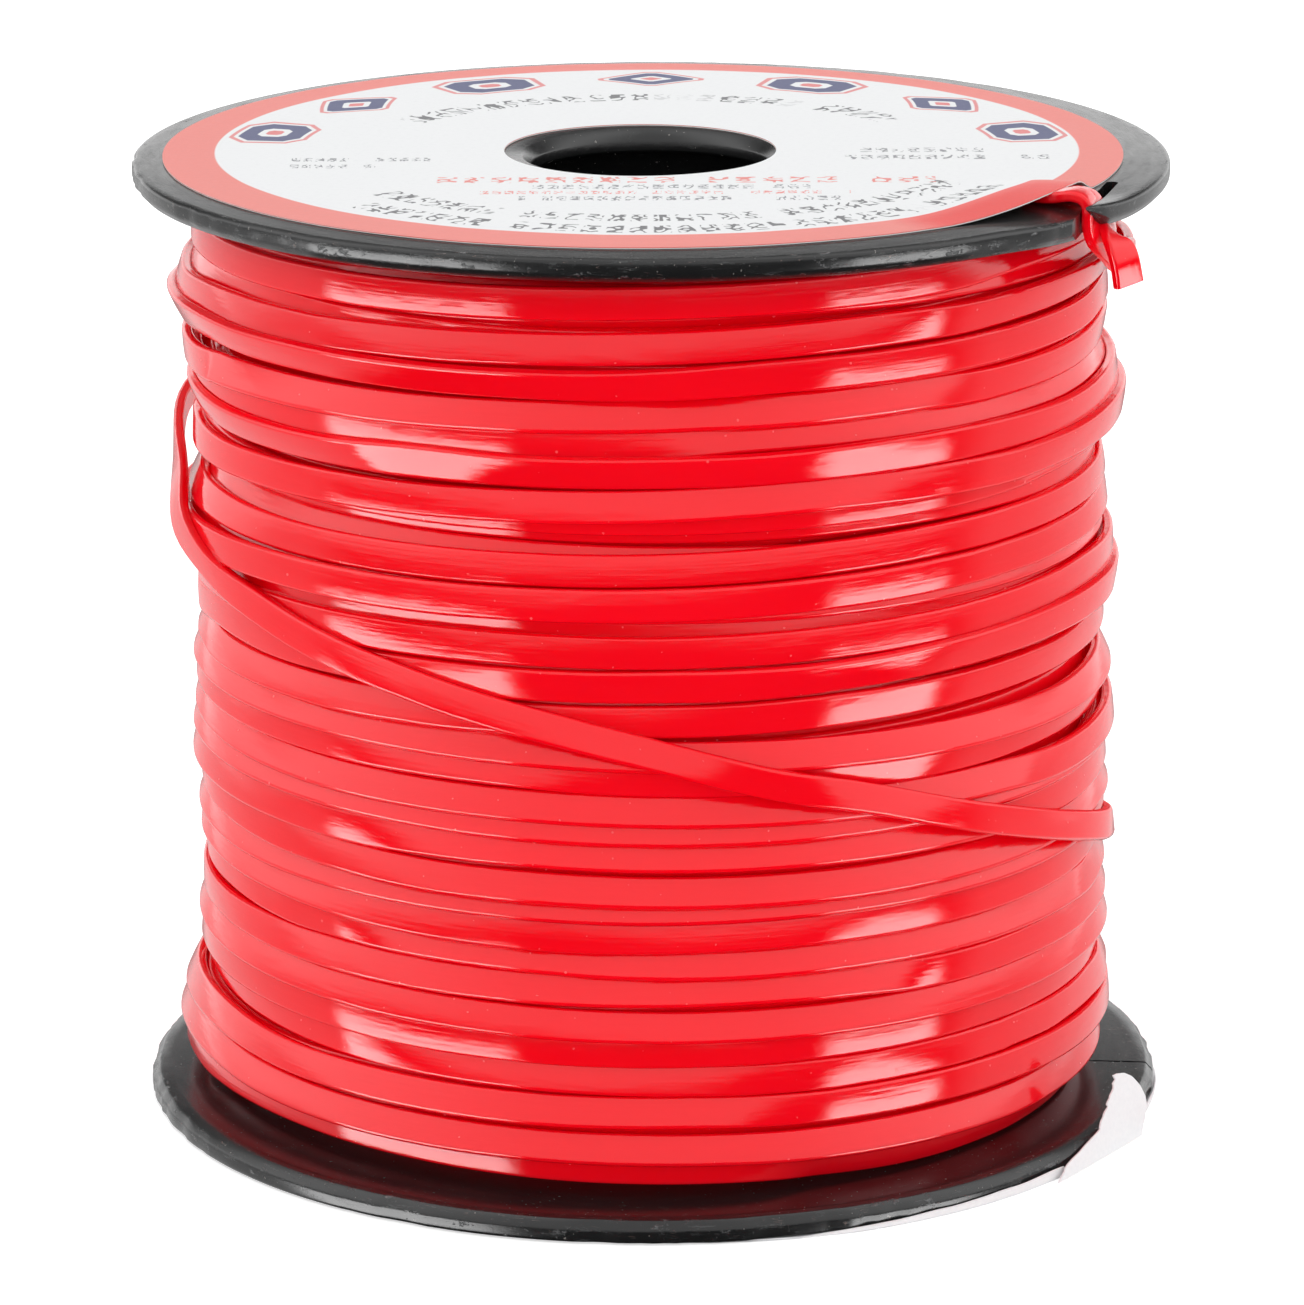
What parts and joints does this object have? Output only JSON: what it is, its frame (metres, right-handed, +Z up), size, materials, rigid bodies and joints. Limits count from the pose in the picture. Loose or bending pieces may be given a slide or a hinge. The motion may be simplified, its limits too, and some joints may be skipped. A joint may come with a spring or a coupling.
{
  "type": "string reel",
  "caption": "Upright reel of flat glossy red plastic craft lace wound between round black flanges on a hollow core, with paper labels and a cut lace end at a rim slit.",
  "frame": {"origin": "on the reel's axis, at the resting face (underside of the bottom label)", "axes": "+Z runs up the reel's axis from the resting face to the printed label; -Y faces the front; the lace slit is at the front right"},
  "size_m": [0.0781, 0.078, 0.0745],
  "materials": {
    "flange_plastic": "moulded black polystyrene, glossy with fine scuffs and dust",
    "core_plastic": "extruded black tube",
    "lace_pvc": "glossy flat vinyl lace, bright red",
    "label_print": null,
    "label_plain": "uncoated white paper with a torn edge"
  },
  "bodies": {
    "spool": {"top_flange": "flange_plastic", "bottom_flange": "flange_plastic", "core_tube": "core_plastic", "top_label": "label_print", "bottom_label": "label_plain", "lace_inner_end": "lace_pvc", "lace_inner_layers": "lace_pvc", "lace_outer_layer": "lace_pvc", "lace_top_layer": "lace_pvc", "lace_last_turn": "lace_pvc", "lace_slot_loop": "lace_pvc"},
    "lace_tail": {"lace_tail_end": "lace_pvc"},
    "top_label_edge": {"top_label_flap": "label_print"},
    "bottom_label_tear": {"bottom_label_flap": "label_plain"}
  },
  "joints": [
    {"name": "tail_swing", "type": "hinge", "parent": "spool", "child": "lace_tail", "pos_m": [0.03169, -0.02054, 0.07072], "axis": [-0.2453, -0.9694, 0], "range_deg": [-20, 40]},
    {"name": "top_label_lift", "type": "hinge", "parent": "spool", "child": "top_label_edge", "pos_m": [0.02417, -0.0151, 0.07304], "axis": [-0.5299, -0.848, 0], "range_deg": [0, 60]},
    {"name": "bottom_label_fold", "type": "hinge", "parent": "spool", "child": "bottom_label_tear", "pos_m": [0.03313, -0.02151, 0], "axis": [0.5446, 0.8387, 0], "range_deg": [0, 95]}
  ]
}
